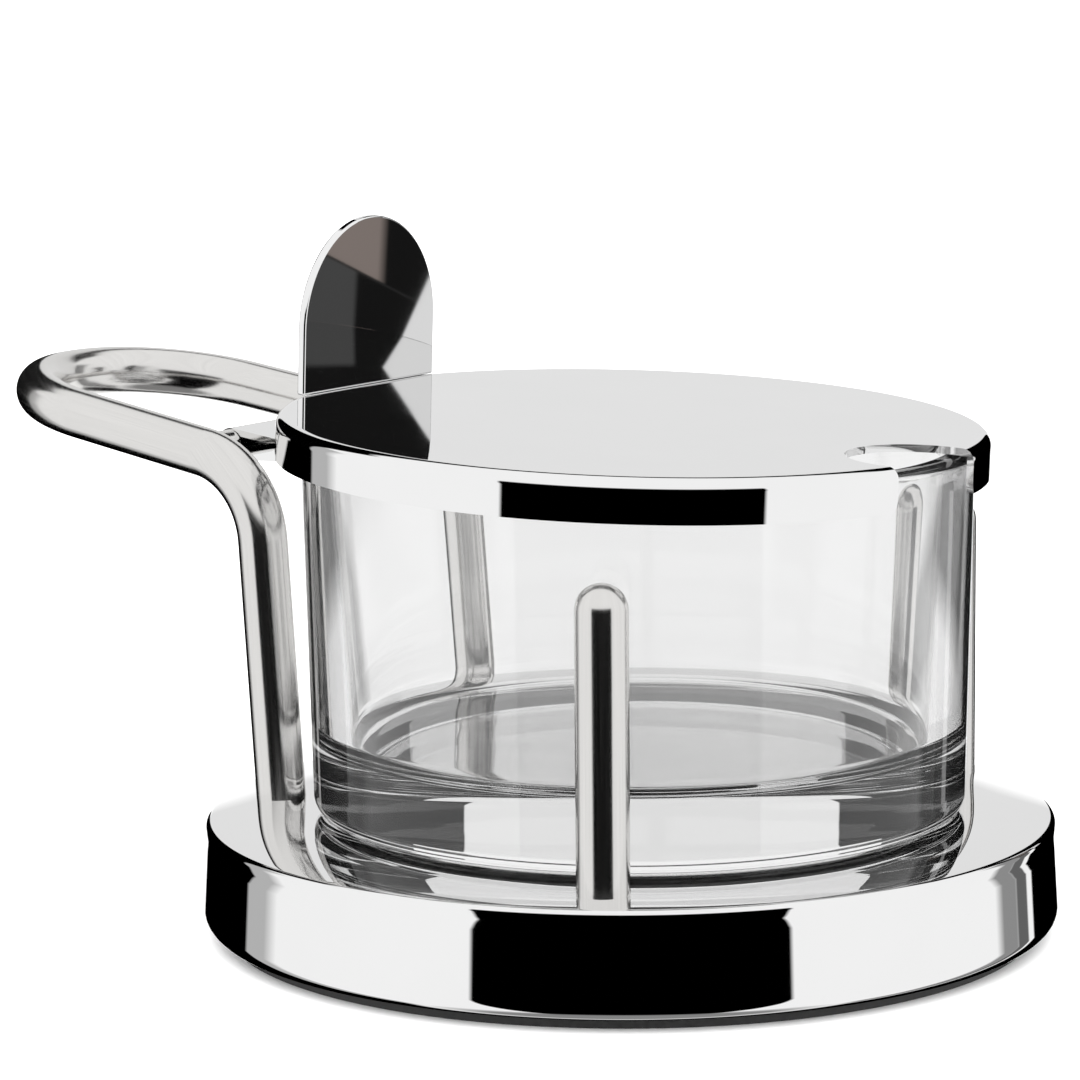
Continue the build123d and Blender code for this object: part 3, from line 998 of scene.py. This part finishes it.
# What the card shows
CARD_BLACK = (0.008, 0.008, 0.008)
CARD_DARK = (0.06, 0.06, 0.06)
CARD_SEAM = (0.02, 0.02, 0.02)
CARD_BROWN = (0.215, 0.18, 0.165)
CARD_LIGHT = (0.75, 0.75, 0.75)


class SERVER_OT_studio(bpy.types.Operator):
    """Lay the floor, light the studio and set up the camera."""

    bl_idname = "server.studio"
    bl_label = "Floor, light and camera"

    def execute(self, context):
        studio = setting("studio")
        self.add_floor(studio)
        self.add_camera(context, studio)
        self.add_back_light(studio)
        self.add_tab_card(studio)
        self.light_studio(context, studio)
        return {"FINISHED"}

    def add_floor(self, studio):
        """A pale matt floor, which the mirror steel and the glass don't show."""
        clear_selection()
        bpy.ops.mesh.primitive_plane_add(size=studio.floor_size)
        floor = added("floor")
        material, nodes, links, shader = surface("floor")
        shader.inputs["Roughness"].default_value = 0.9
        shader.inputs["Base Color"].default_value = (*studio.floor, 1)
        shader.inputs["Specular IOR Level"].default_value = 0.0
        floor.data.materials.append(material)
        floor.visible_glossy = False
        floor.visible_transmission = False

    def add_camera(self, context, studio):
        """The camera, turned and raised about the point that it looks at."""
        toward = Vector(
            (
                math.sin(studio.azimuth) * math.cos(studio.elevation),
                -math.cos(studio.azimuth) * math.cos(studio.elevation),
                math.sin(studio.elevation),
            )
        )
        data = bpy.data.cameras.new("camera")
        data.lens = studio.lens
        data.sensor_width = 36.0
        data.clip_start = 0.01
        camera = bpy.data.objects.new("camera", data)
        context.scene.collection.objects.link(camera)
        camera.location = Vector(studio.target) + toward * studio.distance
        turn = (-toward).to_track_quat("-Z", "Y").to_matrix().to_4x4()
        camera.rotation_euler = turn.to_euler()
        camera.rotation_euler.rotate_axis("Z", studio.roll)
        context.scene.camera = camera

    def stand_card(self, name, place, turn, width, height):
        """Stand a flat card that lights nothing and that only mirrors see.

        Returns it with its nodes, links and shader, and the sockets that give the millimetres across it
        from its middle and up from the table.
        """
        clear_selection()
        bpy.ops.mesh.primitive_plane_add(size=1, location=place, rotation=(math.radians(90.0), 0, turn))
        bpy.ops.transform.resize(value=(width, width, height))
        card = added(name)
        card.visible_camera = False
        card.visible_diffuse = False
        card.visible_transmission = False
        card.visible_shadow = False
        material, nodes, links, shader = surface(name)
        shader.inputs["Base Color"].default_value = (0, 0, 0, 1)
        shader.inputs["Specular IOR Level"].default_value = 0.0
        shader.inputs["Emission Strength"].default_value = 1.0
        card.data.materials.append(material)
        spot = nodes.new("ShaderNodeTexCoord").outputs["Object"]
        across = (math.cos(turn), math.sin(turn), 0)
        middle = Vector(place).dot(Vector(across))
        reach = along(nodes, links, spot, across)
        aside = number(nodes, links, "MULTIPLY_ADD", reach, 1 / MM, -middle / MM)
        up = number(nodes, links, "MULTIPLY", along(nodes, links, spot, (0, 0, 1)), 1 / MM)
        return card, nodes, links, shader, aside, up

    def add_back_light(self, studio):
        """The lit panel behind the object, once for the steel and once, with a waist, for the glass."""
        away = Vector((-math.sin(studio.azimuth), math.cos(studio.azimuth), 0))
        middle = away * studio.panel_distance
        middle.z = (studio.panel_bottom + studio.panel_top) / 2
        tall = studio.panel_top - studio.panel_bottom
        for name, lower, upper, for_glass in BACK_LIGHTS:
            panel, nodes, links, shader, aside, up = self.stand_card(
                name, middle, studio.azimuth, studio.panel_width, tall
            )
            panel.visible_glossy = not for_glass
            panel.visible_transmission = for_glass
            above = band(nodes, links, up, *PANEL_UPPER)
            colour = paint(nodes, links, grey(lower), above, grey(upper))
            if for_glass:
                waist = band(nodes, links, up, *PANEL_WAIST)
                for side in WAIST_SIDES:
                    cut = number(nodes, links, "MULTIPLY", waist, band(nodes, links, aside, *side))
                    colour = paint(nodes, links, colour, cut, grey(WAIST_GREY))
            links.new(colour, shader.inputs["Emission Color"])

    def add_tab_card(self, studio):
        """The small card that the upright thumb tab mirrors: black, brown, and a light wedge."""
        _, nodes, links, shader, aside, up = self.stand_card(
            "tab_card", studio.card_place, studio.card_turn, studio.card_width, studio.card_height
        )
        off_wedge = number(nodes, links, "ABSOLUTE", number(nodes, links, "SUBTRACT", up, WEDGE_HEIGHT))
        wedge = number(nodes, links, "MULTIPLY_ADD", off_wedge, -WEDGE_SLANT, aside)
        sliver = number(nodes, links, "MULTIPLY_ADD", up, -SLIVER_SLANT, aside)
        slope = number(nodes, links, "MULTIPLY_ADD", aside, BROWN_SLANT, up)
        low = band(nodes, links, up, 0, CARD_CHANGE, 1)
        under_slope = band(nodes, links, slope, 0, BROWN_EDGE, 0.3)
        below_brown = number(nodes, links, "MULTIPLY", low, under_slope)
        high = band(nodes, links, up, CARD_CHANGE, FAR, 1)
        middle = band(nodes, links, up, CARD_CHANGE, CARD_GREY_TOP, 1)
        colour = CARD_BLACK
        # Each row: the part of the card, what is measured there, from, to, softness, and its colour
        for zone, edge, start, end, soft, over in (
            (low, aside, -FAR, 1.9, 1.6, CARD_BROWN),
            (below_brown, aside, -FAR, FAR, 1, CARD_BLACK),
            (below_brown, aside, -FAR, -2.4, 0.8, CARD_DARK),
            (middle, aside, -FAR, -3.7, 0.8, CARD_DARK),
            (low, slope, BROWN_EDGE - 0.4, BROWN_EDGE, 0.2, CARD_SEAM),
            (low, sliver, -8.6, FAR, 0.4, CARD_LIGHT),
            (high, wedge, 1.2, FAR, 0.4, CARD_LIGHT),
        ):
            share = number(nodes, links, "MULTIPLY", zone, band(nodes, links, edge, start, end, soft))
            colour = paint(nodes, links, colour, share, over)
        links.new(colour, shader.inputs["Emission Color"])

    def light_studio(self, context, studio):
        """White all round, with the cards that only steel and glass see."""
        world = bpy.data.worlds.new("studio")
        context.scene.world = world
        world.use_nodes = True
        nodes = world.node_tree.nodes
        links = world.node_tree.links
        direction = nodes.new("ShaderNodeTexCoord").outputs["Generated"]
        front = (math.sin(studio.azimuth), -math.cos(studio.azimuth), 0)
        right = (math.cos(studio.azimuth), math.sin(studio.azimuth), 0)
        to_right = along(nodes, links, direction, right)
        to_front = along(nodes, links, direction, front)
        turned = number(nodes, links, "DEGREES", number(nodes, links, "ARCTAN2", to_right, to_front))
        climb = number(nodes, links, "ARCSINE", along(nodes, links, direction, (0, 0, 1)))
        height = number(nodes, links, "DEGREES", climb)
        seen = []
        for cards, colour in ((STEEL_CARDS, grey(0.97)), (GLASS_CARDS, grey(0.93))):
            for _, turn_band, height_band, value in cards:
                across = band(nodes, links, turned, *turn_band)
                share = number(nodes, links, "MULTIPLY", across, band(nodes, links, height, *height_band))
                colour = paint(nodes, links, colour, share, grey(value))
            seen.append(colour)
        path = nodes.new("ShaderNodeLightPath")
        final = paint(nodes, links, grey(1.05), path.outputs["Is Diffuse Ray"], grey(studio.brightness))
        final = paint(nodes, links, final, path.outputs["Is Glossy Ray"], seen[0])
        final = paint(nodes, links, final, path.outputs["Is Transmission Ray"], seen[1])
        links.new(final, nodes["Background"].inputs["Color"])
        context.scene.view_settings.view_transform = "Standard"


STEPS = (
    SERVER_OT_base,
    SERVER_OT_posts,
    SERVER_OT_handle,
    SERVER_OT_hinge,
    SERVER_OT_bowl,
    SERVER_OT_lid,
    SERVER_OT_tab,
    SERVER_OT_inner,
    SERVER_OT_studio,
)


class SERVER_PT_panel(bpy.types.Panel):
    """Sidebar tab that lists the pieces in the order they are made."""

    bl_label = "Cheese server"
    bl_idname = "SERVER_PT_panel"
    bl_space_type = "VIEW_3D"
    bl_region_type = "UI"
    bl_category = "Cheese server"

    def draw(self, context):
        for step in STEPS:
            self.layout.operator(step.bl_idname)


CLASSES = (*SETTINGS.values(), *STEPS, SERVER_PT_panel)


def register():
    for each in CLASSES:
        bpy.utils.register_class(each)
    for name, group in SETTINGS.items():
        setattr(bpy.types.Scene, name, PointerProperty(type=group))


def unregister():
    for name in SETTINGS:
        delattr(bpy.types.Scene, name)
    for each in reversed(CLASSES):
        bpy.utils.unregister_class(each)


def plain(box):
    """A box's two corners as plain lists."""
    return [[float(value) for value in corner] for corner in box]


def main():
    register()
    bpy.ops.server.base()
    bpy.ops.server.posts()
    bpy.ops.server.handle()
    bpy.ops.server.hinge()
    bpy.ops.server.bowl()
    bpy.ops.server.lid()
    bpy.ops.server.tab()
    bpy.ops.server.inner()
    bpy.ops.server.studio()


if __name__ == "__main__":
    main()
